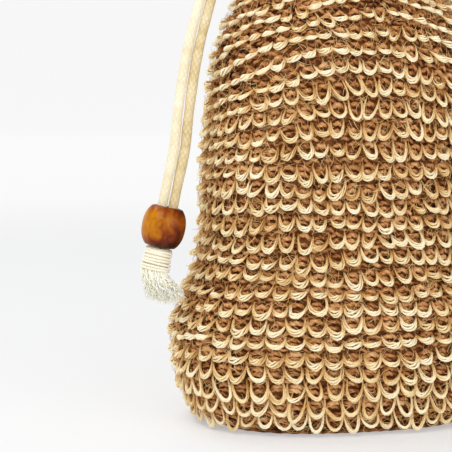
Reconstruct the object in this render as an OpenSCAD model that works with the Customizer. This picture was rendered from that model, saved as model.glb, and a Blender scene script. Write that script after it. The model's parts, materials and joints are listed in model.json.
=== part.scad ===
// Drawstring pouch of looped plant-fibre knit, standing on its own base, with
// its neck drawn closed. Both ends of the drawstring leave the neck on the left
// (-X), pass through one sliding wooden bead and end in a thread whipping and a
// frayed tassel. Millimetres, +Z up, front towards -Y, origin on the floor under
// the middle of the pouch. The gathered top is split into a front and a back lip
// that tilt apart on hinge lines along the shoulder.

/* [Pouch body] */
// Width of the flat base
base_w = 76; // [52:1:84]
// Depth of the flat base, front to back
base_d = 49; // [34:1:54]
// Width of the pouch at its fullest height
bulge_w = 99; // [80:1:120]
// Depth of the pouch at its fullest height
bulge_d = 64; // [50:1:78]
// Height of the fullest section above the floor
bulge_z = 27; // [20:1:34]
// Width above the bulge, where the sides pull in
waist_w = 83; // [70:1:104]
// Depth above the bulge, where the sides pull in
waist_d = 57; // [46:1:70]
// Height of the waist above the floor
waist_z = 50; // [40:1:60]
// Width half way up the side
chest_w = 81; // [66:1:100]
// Depth half way up the side
chest_d = 56; // [44:1:68]
// Height of the chest section above the floor
chest_z = 75; // [66:1:84]
// Width at the shoulder, where the gathers start
shoulder_w = 74; // [60:1:90]
// Depth at the shoulder, where the gathers start
shoulder_d = 54; // [42:1:66]
// Height of the shoulder above the floor
shoulder_z = 104; // [92:1:112]

/* [Gathered top] */
// Width of the sloping yoke between shoulder and neck
yoke_w = 60; // [46:1:70]
// Depth of the sloping yoke between shoulder and neck
yoke_d = 46; // [36:1:56]
// Height of the yoke section above the floor
yoke_z = 122; // [116:1:130]
// Outer diameter of the drawn neck
neck_w = 24; // [20:1:30]
// Height of the neck above the floor
neck_z = 143; // [136:1:150]
// Outer diameter of the frill at the mouth
mouth_w = 42; // [34:1:50]
// Height of the mouth's bound edge above the floor
mouth_z = 162; // [154:1:196]
// Number of gathers round the neck
pleats = 12; // [8:2:16]
// Height of each gather above and below the mean surface
pleat_h = 1.2; // [0.8:0.1:1.6]
// Squareness of the body's section, 2 for an ellipse
corner_power = 2.5; // [2:0.1:3]

/* [Knit] */
// Thickness of the ground knit
knit_t = 1.6; // [1.2:0.1:2.2]
// Thickness of the layer of pile loops outside it
pile_t = 1.8; // [1.4:0.1:2.4]
// Clearance between the two layers
layer_gap = 0.3; // [0.2:0.05:0.5]
// Height above the floor below which the base has no pile layer
pile_start = 3; // [2:0.5:5]
// Gap between the front and back halves
split_gap = 0.6; // [0.4:0.1:1]
// Diameter of the yarn rope that joins the sides
seam_d = 2.4; // [1.8:0.1:3]
// Diameter of the row that joins the base, inside
base_seam_d = 1.8; // [1.2:0.1:2.4]
// Diameter of the bound edge round the mouth
edging_d = 2.8; // [2:0.1:3.6]

/* [Drawstring] */
// Diameter of the cotton cord
cord_d = 2.8; // [2.4:0.1:3.6]
// Gap between the two legs of the cord
leg_gap = 0.2; // [0.1:0.05:0.6]
// Clearance between the cord round the neck and the gathers
run_gap = 0.3; // [0.2:0.05:0.6]

/* [Bead, whipping and tassel] */
// Largest diameter of the bead
bead_d = 12; // [11:0.5:16]
// Length of the bead along its bore
bead_h = 11.2; // [8:0.2:14]
// Diameter of the bead's flat ends
bead_end_d = 9.4; // [8.6:0.1:10.4]
// Clearance all round the two cord legs in the bead's bore
bore_gap = 0.24; // [0.15:0.01:0.5]
// Diameter of the thread of the whipping
thread_d = 0.95; // [0.7:0.05:1.2]
// Turns of thread in the whipping
whipping_turns = 7; // [5:1:9]
// Wall of the whipping under its thread ridges
whipping_wall = 0.6; // [0.5:0.1:1.2]
// Gap between the bead and the whipping it rests above
stop_gap = 0.3; // [0.2:0.1:0.6]
// Diameter of the tassel where it leaves the whipping
tassel_top_d = 7.6; // [6.6:0.2:9]
// Diameter of the tassel's frayed end
tassel_end_d = 10.8; // [8.6:0.2:13]
// Length of the tassel
tassel_l = 10.5; // [8:0.5:16]
// Angle at which the tassel turns in towards the pouch
tassel_tilt = 22; // [0:1:30]

/* [Hinge lines] */
// Gap between the body and the tilting lips
hinge_gap = 0.6; // [0.4:0.1:1]

/* [Hidden] */

// Colours of the yarns, cord and bead
ground_colour = [0.60, 0.42, 0.25];
pile_colour = [0.86, 0.75, 0.54];
cord_colour = [0.88, 0.81, 0.64];
thread_colour = [0.93, 0.90, 0.82];
bead_colour = [0.70, 0.37, 0.08];

// Sections of the pouch from the bulge up: height, half width, half depth
stations = [
    [bulge_z, bulge_w / 2, bulge_d / 2],
    [waist_z, waist_w / 2, waist_d / 2],
    [chest_z, chest_w / 2, chest_d / 2],
    [shoulder_z, shoulder_w / 2, shoulder_d / 2],
    [yoke_z, yoke_w / 2, yoke_d / 2],
    [neck_z, neck_w / 2, neck_w / 2],
    [mouth_z, mouth_w / 2, mouth_w / 2]
];
panel_inset = pile_t + layer_gap;
gather_start = shoulder_z + hinge_gap;
smooth_fn = 96;
cord_sides = 8;

// Rings and spokes of the shells
low_rings = 6;
body_rings = 9;
gather_rings = 10;
body_spokes = 20;
gather_spokes = 36;

// Middle line between the two legs of the drawstring, from the neck to the
// point where the straight stretch through the bead starts
pair_route = [
    [-18, 0, 143], [-22.5, 0, 144], [-27.5, -1, 143.4], [-33, -2.5, 140],
    [-37, -4.5, 134.5], [-39.3, -6, 128.5], [-40.8, -7.3, 122],
    [-43.6, -9.3, 113], [-46.1, -11.3, 104], [-47.9, -13, 95],
    [-49.3, -14.4, 86], [-50.2, -15, 79]
];
// Turn of the line that joins the two legs, from front-to-back at the neck to
// side by side from the shoulder down
pair_turns = [0, 0, 5, 20, 45, 70, 90, 90, 90, 90, 90, 90];
// Lean of the straight stretch, and the bead's place along it
lean = 12;
straight_to_bead = 21.5;

lean_down = [-sin(lean), 0, -cos(lean)];
straight_top = pair_route[len(pair_route) - 1];
bead_at = straight_top + straight_to_bead * lean_down;
leg_offset = (cord_d + leg_gap) / 2 / cos(lean);
bore_r = leg_offset * cos(lean) + cord_d / 2 + bore_gap;
whipping_h = whipping_turns * thread_d;
whipping_top = bead_h / 2 + stop_gap;
whipping_r = bore_r + whipping_wall;

// Slope that keeps a curve from overshooting between two straight slopes
function calm_slope(a, b) = a * b <= 0 ? 0 : 2 * a * b / (a + b);
function slope(i, c) = (stations[i + 1][c] - stations[i][c]) / (stations[i + 1][0] - stations[i][0]);
function slope_at(i, c) =
    i == 0 ? 0 :
    i == len(stations) - 1 ? slope(i - 1, c) :
    calm_slope(slope(i - 1, c), slope(i, c));
function section_above(z) =
    let (hits = [for (i = [0 : len(stations) - 2]) if (z >= stations[i][0]) i])
    hits[len(hits) - 1];
function curve_between(i, c, z) =
    let (
        span = stations[i + 1][0] - stations[i][0],
        t = (z - stations[i][0]) / span
    )
    (2 * t ^ 3 - 3 * t ^ 2 + 1) * stations[i][c] + (3 * t ^ 2 - 2 * t ^ 3) * stations[i + 1][c]
    + span * ((t ^ 3 - 2 * t ^ 2 + t) * slope_at(i, c) + (t ^ 3 - t ^ 2) * slope_at(i + 1, c));
// Quarter ellipse from the flat base out to the bulge
function round_out(z, base, full) = base + (full - base) * sqrt(1 - (1 - z / bulge_z) ^ 2);
function half_w(z) =
    z < bulge_z ? round_out(z, base_w / 2, bulge_w / 2) : curve_between(section_above(z), 1, z);
function half_d(z) =
    z < bulge_z ? round_out(z, base_d / 2, bulge_d / 2) : curve_between(section_above(z), 2, z);
// Share of the way from the shoulder to the neck, 0 to 1
function gathered(z) = min(1, max(0, (z - shoulder_z) / (neck_z - shoulder_z)));
function power_at(z) = corner_power + (2 - corner_power) * gathered(z);
function outline_r(angle, z) =
    let (p = power_at(z))
    1 / (abs(cos(angle) / half_w(z)) ^ p + abs(sin(angle) / half_d(z)) ^ p) ^ (1 / p)
    + pleat_h * gathered(z) * cos(pleats * angle);
function wall_point(angle, z, inset, lift) =
    let (r = outline_r(angle, z) - inset)
    [r * cos(angle), r * sin(angle) - split_gap / 2, z + lift];

// Two triangles for each cell between two rows of points
function cell(a, b, c, d) = [[a, c, b], [b, c, d]];
function grid_faces(first, rows, cols) = [
    for (k = [0 : rows - 2], j = [0 : cols - 2])
        let (a = first + k * cols + j)
        each cell(a, a + 1, a + cols, a + cols + 1)
];
function turned(faces) = [for (f = faces) [f[2], f[1], f[0]]];

// Front half of a wall between two insets from the pouch's outer surface. A
// floor thickness above 0 closes it with a flat base plate.
module half_wall(levels, spokes, inset, thickness, floor_t, side_angle) {
    rows = len(levels);
    cols = spokes + 1;
    top = levels[rows - 1];
    angles = [for (j = [0 : spokes]) 180 + side_angle + (180 - 2 * side_angle) * j / spokes];
    outer = [for (z = levels, a = angles) wall_point(a, z, inset, 0)];
    inner = [for (z = levels, a = angles) wall_point(a, z, inset + thickness, floor_t * (1 - z / top))];
    start = rows * cols;
    rim = (rows - 1) * cols;
    sides = [
        for (k = [0 : rows - 2])
            each concat(
                turned(cell(k * cols, start + k * cols, (k + 1) * cols, start + (k + 1) * cols)),
                cell(
                    k * cols + spokes, start + k * cols + spokes,
                    (k + 1) * cols + spokes, start + (k + 1) * cols + spokes
                )
            )
    ];
    top_faces = [for (j = [0 : spokes - 1]) each cell(rim + j, rim + j + 1, start + rim + j, start + rim + j + 1)];
    open_base = [for (j = [0 : spokes - 1]) each turned(cell(j, j + 1, start + j, start + j + 1))];
    closed_base = [
        [for (j = [0 : spokes]) j],
        [for (j = [spokes : -1 : 0]) start + j],
        [spokes, 0, start],
        [spokes, start, start + spokes]
    ];
    polyhedron(
        concat(outer, inner),
        concat(
            grid_faces(0, rows, cols),
            turned(grid_faces(start, rows, cols)),
            sides,
            top_faces,
            floor_t > 0 ? closed_base : open_base
        )
    );
}

function unit(v) = v / norm(v);
function tangent(points, i) = unit(points[min(i + 1, len(points) - 1)] - points[max(i - 1, 0)]);

// Round tube through a list of points; side is a direction square to the path
module tube(points, diameter, side) {
    rows = len(points);
    rings = [
        for (i = [0 : rows - 1])
            let (
                t = tangent(points, i),
                u = unit(side - (side * t) * t),
                v = cross(t, u)
            )
            for (k = [0 : cord_sides - 1])
                let (a = 360 * k / cord_sides)
                points[i] + diameter / 2 * (cos(a) * u + sin(a) * v)
    ];
    walls = [
        for (i = [0 : rows - 2], k = [0 : cord_sides - 1])
            let (next = (k + 1) % cord_sides)
            each cell(
                i * cord_sides + k, i * cord_sides + next,
                (i + 1) * cord_sides + k, (i + 1) * cord_sides + next
            )
    ];
    polyhedron(rings, concat(
        walls,
        [[for (k = [0 : cord_sides - 1]) k]],
        [[for (k = [cord_sides - 1 : -1 : 0]) (rows - 1) * cord_sides + k]]
    ));
}

body_levels = concat(
    [for (k = [0 : low_rings]) bulge_z * (1 - cos(90 * k / low_rings))],
    [for (k = [1 : body_rings]) bulge_z + (shoulder_z - bulge_z) * k / body_rings]
);
pile_levels = [for (z = body_levels) if (z >= pile_start) z];
gather_levels = [for (k = [0 : gather_rings]) gather_start + (mouth_z - gather_start) * k / gather_rings];
seam_angle = asin((seam_d / 2 + layer_gap) / (shoulder_w / 2 - seam_d));

module half_panel() {
    color(ground_colour) half_wall(body_levels, body_spokes, panel_inset, knit_t, knit_t, 0);
}

module half_pile() {
    color(pile_colour) half_wall(pile_levels, body_spokes, 0, pile_t, 0, seam_angle);
}

module half_gather() {
    color(ground_colour) half_wall(gather_levels, gather_spokes, panel_inset, knit_t, 0, 0);
}

module half_gather_loops() {
    color(pile_colour) half_wall(gather_levels, gather_spokes, 0, pile_t, 0, 0);
}

// Bound edge that caps the knit all along the mouth
module half_edging() {
    clear = asin(split_gap / (mouth_w / 2));
    edge = [
        for (j = [0 : gather_spokes])
            let (a = 180 + clear + (180 - 2 * clear) * j / gather_spokes)
            wall_point(a, mouth_z, panel_inset / 2 + knit_t / 2, edging_d / 2)
    ];
    color(pile_colour) tube(edge, edging_d, [0, 0, 1]);
}

// Cord round the outside of the neck; it stops short of the place where its
// end turns out of the neck as a free leg
module half_run() {
    run_r = neck_w / 2 + pleat_h + run_gap + cord_d / 2;
    run_steps = 16;
    leave = asin((cord_d + leg_gap) / 2 / run_r);
    run = [
        for (j = [0 : run_steps])
            let (a = 180 + leave + (180 - leave) * j / run_steps)
            [run_r * cos(a), run_r * sin(a) - split_gap / 2, neck_z]
    ];
    color(cord_colour) tube(run, cord_d, [0, 0, 1]);
}

module side_seam() {
    seam_inset = panel_inset - seam_d / 2 - 2 * layer_gap;
    color(pile_colour)
        tube([for (z = pile_levels) [-half_w(z) + seam_inset, 0, z]], seam_d, [0, 1, 0]);
}

// Row of joining stitches along the inside of the base
module base_seam() {
    seam_l = base_w - 2 * (panel_inset + knit_t) - base_seam_d;
    color(pile_colour)
        translate([-seam_l / 2, 0, knit_t + base_seam_d / 2])
            rotate([0, 90, 0])
                cylinder(h = seam_l, d = base_seam_d, $fn = smooth_fn);
}

// One leg of the drawstring: side is -1 for the front leg, 1 for the back leg
module leg(side) {
    free = [
        for (i = [0 : len(pair_route) - 1])
            pair_route[i] + side * leg_offset * [-sin(pair_turns[i]), cos(pair_turns[i]), 0]
    ];
    straight_l = straight_to_bead + whipping_top + whipping_h - leg_offset * sin(lean);
    straight_steps = 4;
    straight = [
        for (i = [1 : straight_steps])
            straight_top + [-side * leg_offset, 0, 0] + lean_down * straight_l * i / straight_steps
    ];
    color(cord_colour) tube(concat(free, straight), cord_d, [0, 1, 0]);
}

module on_bead_axis() {
    translate(bead_at) rotate([0, lean, 0]) children();
}

// Barrel turned from wood: one long arc for the side and one for the shoulders
module bead() {
    half = bead_h / 2;
    rise = (bead_d - bead_end_d) / 2;
    side_r = (half ^ 2 + rise ^ 2) / (2 * rise);
    shoulder_r = norm([half, bead_end_d / 2]) - rise / 2;
    color(bead_colour) on_bead_axis() rotate_extrude($fn = smooth_fn)
        difference() {
            intersection() {
                translate([0, -half]) square([bead_d, bead_h]);
                translate([bead_d / 2 - side_r, 0]) circle(r = side_r, $fn = smooth_fn);
                circle(r = shoulder_r, $fn = smooth_fn);
            }
            translate([0, -bead_h]) square([bore_r, 2 * bead_h]);
        }
}

// Turns of thread bound over both legs just below the bead
module whipping() {
    color(thread_colour) on_bead_axis() rotate_extrude($fn = smooth_fn)
        translate([0, -whipping_top - whipping_h]) {
            translate([bore_r, 0]) square([whipping_wall, whipping_h]);
            for (i = [0 : whipping_turns - 1])
                translate([whipping_r, (i + 0.5) * thread_d]) circle(d = thread_d, $fn = smooth_fn);
        }
}

// Frayed ends of both legs, turned in towards the pouch
module tassel() {
    color(thread_colour) on_bead_axis()
        translate([0, 0, -whipping_top - whipping_h])
            intersection() {
                translate([-bead_d, -bead_d, -2 * tassel_l]) cube([2 * bead_d, 2 * bead_d, 2 * tassel_l]);
                rotate([0, -lean - tassel_tilt, 0])
                    translate([0, 0, -tassel_l])
                        cylinder(
                            h = tassel_l + tassel_top_d / 2,
                            d1 = tassel_end_d, d2 = tassel_top_d, $fn = smooth_fn
                        );
            }
}

module to_back() {
    mirror([0, 1, 0]) children();
}

half_panel();  // front_panel
to_back() half_panel();  // back_panel
half_pile();  // front_loop_pile
to_back() half_pile();  // back_loop_pile
side_seam();  // left_side_seam
mirror([1, 0, 0]) side_seam();  // right_side_seam
base_seam();
half_gather();  // front_gather
to_back() half_gather();  // back_gather
half_gather_loops();  // front_gather_loops
to_back() half_gather_loops();  // back_gather_loops
half_edging();  // front_mouth_edging
to_back() half_edging();  // back_mouth_edging
half_run();  // front_drawstring_run
to_back() half_run();  // back_drawstring_run
leg(-1);  // drawstring_leg_front
leg(1);  // drawstring_leg_back
bead();
whipping();
tassel();
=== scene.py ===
# %% [markdown]
# # A looped-knit drawstring pouch
# The pouch is knitted from coarse plant fibre. A darker ground yarn makes the fabric, and a pale
# yarn stands out of it in rows of small U-shaped loops. A cotton cord draws the neck closed; its
# two ends hang on the left through one wooden bead and end in a thread whipping and a frayed
# tassel. The CAD model fixes every size and joint, so this lesson only dresses it: each piece
# below is laid on the CAD solids that it stands for.

# %% Load the frame
import json
import math
import bmesh
import bpy
import numpy as np
from mathutils import Matrix, Vector
from mathutils.bvhtree import BVHTree

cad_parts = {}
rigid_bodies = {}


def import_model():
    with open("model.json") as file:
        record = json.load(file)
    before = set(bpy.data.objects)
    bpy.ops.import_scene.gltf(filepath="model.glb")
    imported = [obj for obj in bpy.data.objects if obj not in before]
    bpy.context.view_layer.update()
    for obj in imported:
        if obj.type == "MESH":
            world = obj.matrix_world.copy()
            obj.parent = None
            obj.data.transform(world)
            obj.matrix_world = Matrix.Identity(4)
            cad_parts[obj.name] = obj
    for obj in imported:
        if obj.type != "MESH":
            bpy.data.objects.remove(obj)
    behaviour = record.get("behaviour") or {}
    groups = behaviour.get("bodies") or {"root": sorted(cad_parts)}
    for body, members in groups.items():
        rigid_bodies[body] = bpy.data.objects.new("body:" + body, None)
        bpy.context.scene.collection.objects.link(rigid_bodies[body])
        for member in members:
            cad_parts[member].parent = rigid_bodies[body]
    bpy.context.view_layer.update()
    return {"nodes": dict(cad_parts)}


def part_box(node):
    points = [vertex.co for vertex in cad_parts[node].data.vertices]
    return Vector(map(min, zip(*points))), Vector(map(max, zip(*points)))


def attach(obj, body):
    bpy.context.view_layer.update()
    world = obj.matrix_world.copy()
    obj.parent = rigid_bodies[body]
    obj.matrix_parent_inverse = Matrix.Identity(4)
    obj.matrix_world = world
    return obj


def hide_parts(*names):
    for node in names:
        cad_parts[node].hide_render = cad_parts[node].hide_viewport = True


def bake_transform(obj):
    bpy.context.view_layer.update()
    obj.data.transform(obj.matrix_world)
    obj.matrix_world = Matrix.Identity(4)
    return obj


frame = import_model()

MM = 0.001
rng = np.random.default_rng(11)
print("nodes:", len(frame["nodes"]))

# %% [markdown]
# ## Camera
# The pouch is seen from a little to its left and slightly from above, through a long lens, so that
# its rows stay nearly level. The camera looks at a point between the cord and the pouch's middle.

# %% Camera
TURN = math.radians(12)
RAISE = math.radians(5.5)
LENS_MM = 120
SENSOR_MM = 36
VIEW_WIDTH = 129.3 * MM
LOOK_LEFT = 33.3 * MM
LOOK_HEIGHT = 56.3 * MM

distance = VIEW_WIDTH * LENS_MM / SENSOR_MM
forward = Vector((
    math.sin(TURN) * math.cos(RAISE),
    math.cos(TURN) * math.cos(RAISE),
    -math.sin(RAISE),
))
look_at = Vector((-LOOK_LEFT / math.cos(TURN), 0, LOOK_HEIGHT))
camera_data = bpy.data.cameras.new("camera")
camera_data.lens = LENS_MM
camera_data.sensor_width = SENSOR_MM
camera_data.clip_start = 0.01
camera = bpy.data.objects.new("camera", camera_data)
camera.location = look_at - forward * distance
camera.rotation_euler = forward.to_track_quat("-Z", "Y").to_euler()
bpy.context.collection.objects.link(camera)
bpy.context.scene.camera = camera
print("camera distance:", round(distance, 3), "m")

# %% [markdown]
# ## Colours and the node helper
# Colours are written as the sRGB hex values a painter would pick, and one function turns them into
# the linear values that the shaders work in. One small function adds a node with its settings and
# links, so that a material reads as a short recipe.

# %% Helpers for materials


def linear(hex_colour):
    channels = [int(hex_colour[i:i + 2], 16) / 255 for i in (1, 3, 5)]
    return [c / 12.92 if c <= 0.04045 else ((c + 0.055) / 1.055) ** 2.4 for c in channels] + [1.0]


def add(material, kind, inputs=None, **settings):
    node = material.node_tree.nodes.new(kind)
    for key, value in settings.items():
        setattr(node, key, value)
    for key, value in (inputs or {}).items():
        if isinstance(value, bpy.types.NodeSocket):
            material.node_tree.links.new(value, node.inputs[key])
        else:
            node.inputs[key].default_value = value
    return node


def new_material(name, **shader_values):
    material = bpy.data.materials.new(name)
    material.use_nodes = True
    shader = material.node_tree.nodes["Principled BSDF"]
    for key, value in shader_values.items():
        shader.inputs[key.replace("_", " ")].default_value = value
    return material, shader


def ramp(material, factor, stops):
    node = add(material, "ShaderNodeValToRGB", {"Fac": factor})
    elements = node.color_ramp.elements
    while len(elements) < len(stops):
        elements.new(0.5)
    for element, (position, colour) in zip(elements, stops):
        element.position = position
        element.color = linear(colour)
    return node.outputs["Color"]


# %% [markdown]
# ## Yarn finishes
# Jute and sisal are matt, hairy plant fibres. Each strand carries a tone from 0, deep in the
# fabric, to 1, on the crown of a loop; the tone paints shade deep in the fabric and light on the
# crowns. Fibre streaks of about a quarter of a millimetre break up the tone. The colour comes from
# one ramp for each yarn.

# %% Yarn finishes


def yarn_material(name, stops, fibre_mm, spread, roughness, sheen):
    material, shader = new_material(
        name, Roughness=roughness, Sheen_Weight=sheen, Sheen_Roughness=0.5)
    shader.inputs["Specular IOR Level"].default_value = 0.25
    # The tone attribute carries the light and shade painted onto each strand, as well as random
    # differences of tone.
    tone = add(material, "ShaderNodeAttribute", attribute_name="tone")
    place = add(material, "ShaderNodeTexCoord")
    fibre = add(material, "ShaderNodeTexNoise", {
        "Vector": place.outputs["Object"], "Scale": 1 / (fibre_mm * MM),
        "Detail": 3.0, "Roughness": 0.6,
    })
    patch = add(material, "ShaderNodeTexNoise", {
        "Vector": place.outputs["Object"], "Scale": 1 / (6 * MM), "Detail": 2.0,
    })
    fibre_shift = add(material, "ShaderNodeMath",
                      {0: fibre.outputs["Fac"], 1: spread, 2: -spread / 2},
                      operation="MULTIPLY_ADD")
    patch_shift = add(material, "ShaderNodeMath", {0: patch.outputs["Fac"], 1: 0.5, 2: -0.25},
                      operation="MULTIPLY_ADD")
    shifted = add(material, "ShaderNodeMath", {0: tone.outputs["Fac"], 1: fibre_shift.outputs[0]},
                  operation="ADD")
    mixed = add(material, "ShaderNodeMath", {0: shifted.outputs[0], 1: patch_shift.outputs[0]},
                operation="ADD", use_clamp=True)
    colour = ramp(material, mixed.outputs[0], stops)
    material.node_tree.links.new(colour, shader.inputs["Base Color"])
    bump = add(material, "ShaderNodeBump", {
        "Height": fibre.outputs["Fac"], "Strength": 0.5, "Distance": 0.15 * MM,
    })
    material.node_tree.links.new(bump.outputs["Normal"], shader.inputs["Normal"])
    return material


# Straw-coloured pile yarn: golden for the painted shade where it dives into the fabric, cream for
# the painted light on the crowns
pile_yarn = yarn_material("sisal_pile_yarn", [
    (0.0, "#84511F"), (0.25, "#B98443"), (0.5, "#E0B87A"), (0.75, "#F3DCAA"), (1.0, "#FCF1D0"),
], fibre_mm=0.32, spread=0.7, roughness=0.85, sheen=0.0)
# Red-brown ground yarn, in the shade of the loops
ground_yarn = yarn_material("jute_ground_yarn", [
    (0.0, "#44200C"), (0.3, "#875027"), (0.6, "#C0844E"), (1.0, "#F0C28A"),
], fibre_mm=0.32, spread=0.8, roughness=0.9, sheen=0.0)
# Single stray fibres, paler and slightly glossier than spun yarn
stray_fibre = yarn_material("stray_sisal_fibre", [
    (0.0, "#A0682E"), (0.5, "#DFAA60"), (1.0, "#F8DCA4"),
], fibre_mm=0.5, spread=0.2, roughness=0.8, sheen=0.0)
# Undyed cotton, braided into cord: warm cream, with painted shade in the grooves between its
# strands
cotton_braid = yarn_material("cotton_braided_cord", [
    (0.0, "#AE8C50"), (0.35, "#D8C496"), (0.7, "#EBE0C2"), (1.0, "#F6F0DC"),
], fibre_mm=0.35, spread=0.4, roughness=0.85, sheen=0.25)
# Waxed cotton thread of the whipping
waxed_thread = yarn_material("waxed_cotton_thread", [
    (0.0, "#C8B78C"), (0.5, "#EFE6CC"), (1.0, "#FBF7E8"),
], fibre_mm=0.3, spread=0.25, roughness=0.6, sheen=0.1)
# Combed-out cotton of the tassel, the whitest part
frayed_cotton = yarn_material("frayed_cotton", [
    (0.0, "#EADFB4"), (0.4, "#FCF5DA"), (1.0, "#FFFFF4"),
], fibre_mm=0.4, spread=0.2, roughness=0.8, sheen=0.3)
print("yarn finishes:", [m.name for m in bpy.data.materials])

# %% [markdown]
# ## Reading the pouch's shape from the CAD solids
# The knit has to lie on the CAD shells, so the outer surface is read from them once: rays are cast
# inwards at every angle and height, and misses, such as the slits between the halves, are filled
# from their neighbours. A light smoothing removes the flat facets of the CAD shells.

# %% Radius of the pouch at every angle and height
ANGLES = 180
LEVEL_STEP = 1.0 * MM


def surface_of(*nodes):
    trees = []
    for node in nodes:
        mesh = frame["nodes"][node].data
        points = [v.co.copy() for v in mesh.vertices]
        trees.append(BVHTree.FromPolygons(points, [list(p.vertices) for p in mesh.polygons]))
    return trees


pile_trees = surface_of(
    "front_loop_pile", "back_loop_pile", "front_gather_loops", "back_gather_loops")
panel_trees = surface_of("front_panel", "back_panel")
pile_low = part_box("front_loop_pile")[0][2]
mouth_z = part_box("front_gather_loops")[1][2]
panel_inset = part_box("front_loop_pile")[1][0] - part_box("front_panel")[1][0]
levels = np.arange(0.25 * MM, mouth_z, LEVEL_STEP)
angles = np.arange(ANGLES) * 2 * math.pi / ANGLES


def cast(trees, angle, z):
    outward = Vector((math.cos(angle), math.sin(angle), 0))
    start = outward * 0.09 + Vector((0, 0, z))
    hits = [tree.ray_cast(start, -outward, 0.09) for tree in trees]
    reach = [0.09 - hit[3] for hit in hits if hit[0] is not None]
    return max(reach) if reach else math.nan


radius = np.array([
    [
        cast(pile_trees, a, z) if z > pile_low + 0.5 * MM else cast(panel_trees, a, z) + panel_inset
        for a in angles
    ]
    for z in levels
])
for i, row in enumerate(radius):
    known = np.flatnonzero(~np.isnan(row))
    if len(known) < ANGLES / 2:
        row[:] = radius[i - 1]
    else:
        row[:] = np.interp(np.arange(ANGLES), known, row[known], period=ANGLES)


def soften(table, passes, axis, periodic):
    for _ in range(passes):
        if periodic:
            table = 0.5 * table + 0.25 * (np.roll(table, 1, axis) + np.roll(table, -1, axis))
        else:
            before = np.concatenate([table[:1], table[:-1]], axis=0)
            after = np.concatenate([table[1:], table[-1:]], axis=0)
            table = 0.5 * table + 0.25 * (before + after)
    return table


radius = soften(radius, 3, 1, True)
radius[6:] = soften(radius, 6, 0, False)[6:]
print("radius table:", radius.shape, "from", round(radius.min() * 1000, 1),
      "to", round(radius.max() * 1000, 1), "mm")

# %% [markdown]
# ## Rows and columns of the knit
# A knitted bag has the same number of stitches in every row, so the stitches crowd together where
# the neck is drawn in. Each half has its own table of points: a share from 0 at the left side to 1
# at the right, and a height. Equal shares are equal lengths round the pouch. Row heights follow the
# length of the side, so that the rows stay evenly apart where the wall slopes. Below the neck the
# gathers pull the middle of each row up and let the sides droop.

# %% Rows and columns
ROW_PITCH = 4.7 * MM
COLUMNS = 25
SHARES = 97
hinge_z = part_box("front_panel")[1][2]


def half_table(side):
    """Points of one half at each level and share; side is -1 for the front, 1 for the back."""
    table = np.zeros((len(levels), SHARES, 2))
    steps = np.linspace(0, math.pi, 181)
    theta = math.pi - side * steps
    for i in range(len(levels)):
        r = np.interp(theta % (2 * math.pi), angles, radius[i], period=2 * math.pi)
        x, y = r * np.cos(theta), r * np.sin(theta)
        lengths = np.concatenate([[0], np.cumsum(np.hypot(np.diff(x), np.diff(y)))])
        even = np.linspace(0, lengths[-1], SHARES)
        table[i, :, 0] = np.interp(even, lengths, x)
        table[i, :, 1] = np.interp(even, lengths, y)
    return table


tables = {-1: half_table(-1), 1: half_table(1)}
side_x = np.array([tables[-1][i, 0, 0] for i in range(len(levels))])
side_length = np.concatenate([[0], np.cumsum(np.hypot(np.diff(side_x), np.diff(levels)))])
FIRST_ROW = 5.4 * MM
row_count = int((side_length[-1] - FIRST_ROW) / ROW_PITCH) + 1
top_end = (side_length[-1] - FIRST_ROW) / ROW_PITCH
row_height = np.interp(FIRST_ROW + ROW_PITCH * np.arange(-1, row_count), side_length, levels)
print("rows:", row_count, "columns in each half:", COLUMNS)


def ease(x, low, high):
    t = np.clip((x - low) / (high - low), 0, 1)
    return t * t * (3 - 2 * t)


waves = [
    (rng.uniform(0.5, 3), rng.uniform(0.05, 0.35), rng.uniform(0, 2 * math.pi))
    for _ in range(10)
]


def drift(share, row, side):
    """Small, slow unevenness of hand work, from about -1 to 1."""
    total = sum(np.sin(2 * math.pi * a * share + 6 * b * row + p + side) for a, b, p in waves)
    return total / math.sqrt(len(waves))


def height_at(share, row, side):
    z = np.interp(
        row, np.append(np.arange(-1, row_count), top_end), np.append(row_height, levels[-1]))
    arch = 2 * np.sin(np.clip(share, 0, 1) * math.pi) ** 1.4 - 1
    pulled = 6 * MM * ease(z, 66 * MM, 104 * MM) * (1 - ease(z, 112 * MM, 140 * MM))
    uneven = 0.45 * MM * ease(z, 6 * MM, 20 * MM) * (1 - ease(z, 150 * MM, 160 * MM))
    return z + pulled * arch + uneven * drift(share, row, side)


def on_wall(share, row, side):
    """Points of the pouch's outer surface."""
    share, row = np.broadcast_arrays(np.asarray(share, float), np.asarray(row, float))
    z = np.clip(height_at(share, row, side), levels[0], levels[-1])
    i = np.clip((z - levels[0]) / LEVEL_STEP, 0, len(levels) - 1.001)
    j = np.clip(share, 0, 1) * (SHARES - 1.001)
    i0, j0 = i.astype(int), j.astype(int)
    u, v = (i - i0)[..., None], (j - j0)[..., None]
    t = tables[side]
    xy = (
        t[i0, j0] * (1 - u) * (1 - v) + t[i0 + 1, j0] * u * (1 - v)
        + t[i0, j0 + 1] * (1 - u) * v + t[i0 + 1, j0 + 1] * u * v
    )
    return np.concatenate([xy, z[..., None]], axis=-1)


def unit(v):
    return v / np.maximum(np.linalg.norm(v, axis=-1, keepdims=True), 1e-12)


def wall_frame(share, row, side):
    """Point, direction along the row, direction up the wall and outward direction."""
    point = on_wall(share, row, side)
    step, rise = 0.5 / COLUMNS, 0.4
    low, high = np.clip(share - step, 0, 1), np.clip(share + step, 0, 1)
    along = on_wall(high, row, side) - on_wall(low, row, side)
    near = np.clip(row, rise - 1, top_end - 2 * rise)
    up = on_wall(share, near + rise, side) - on_wall(share, near - rise, side)
    along = unit(along)
    out = unit(np.cross(along, up)) * -side
    return point, along, unit(np.cross(out, along)) * -side, out


# %% [markdown]
# ## Spinning yarn
# A strand is a curve with a round section, because that is what Blender's curves do best. All the
# strands of a piece go into one curve object, which is turned into a mesh. Each strand's tone is
# written to its vertices, and the ends are welded to their caps.

# %% Spinning yarn


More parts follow.
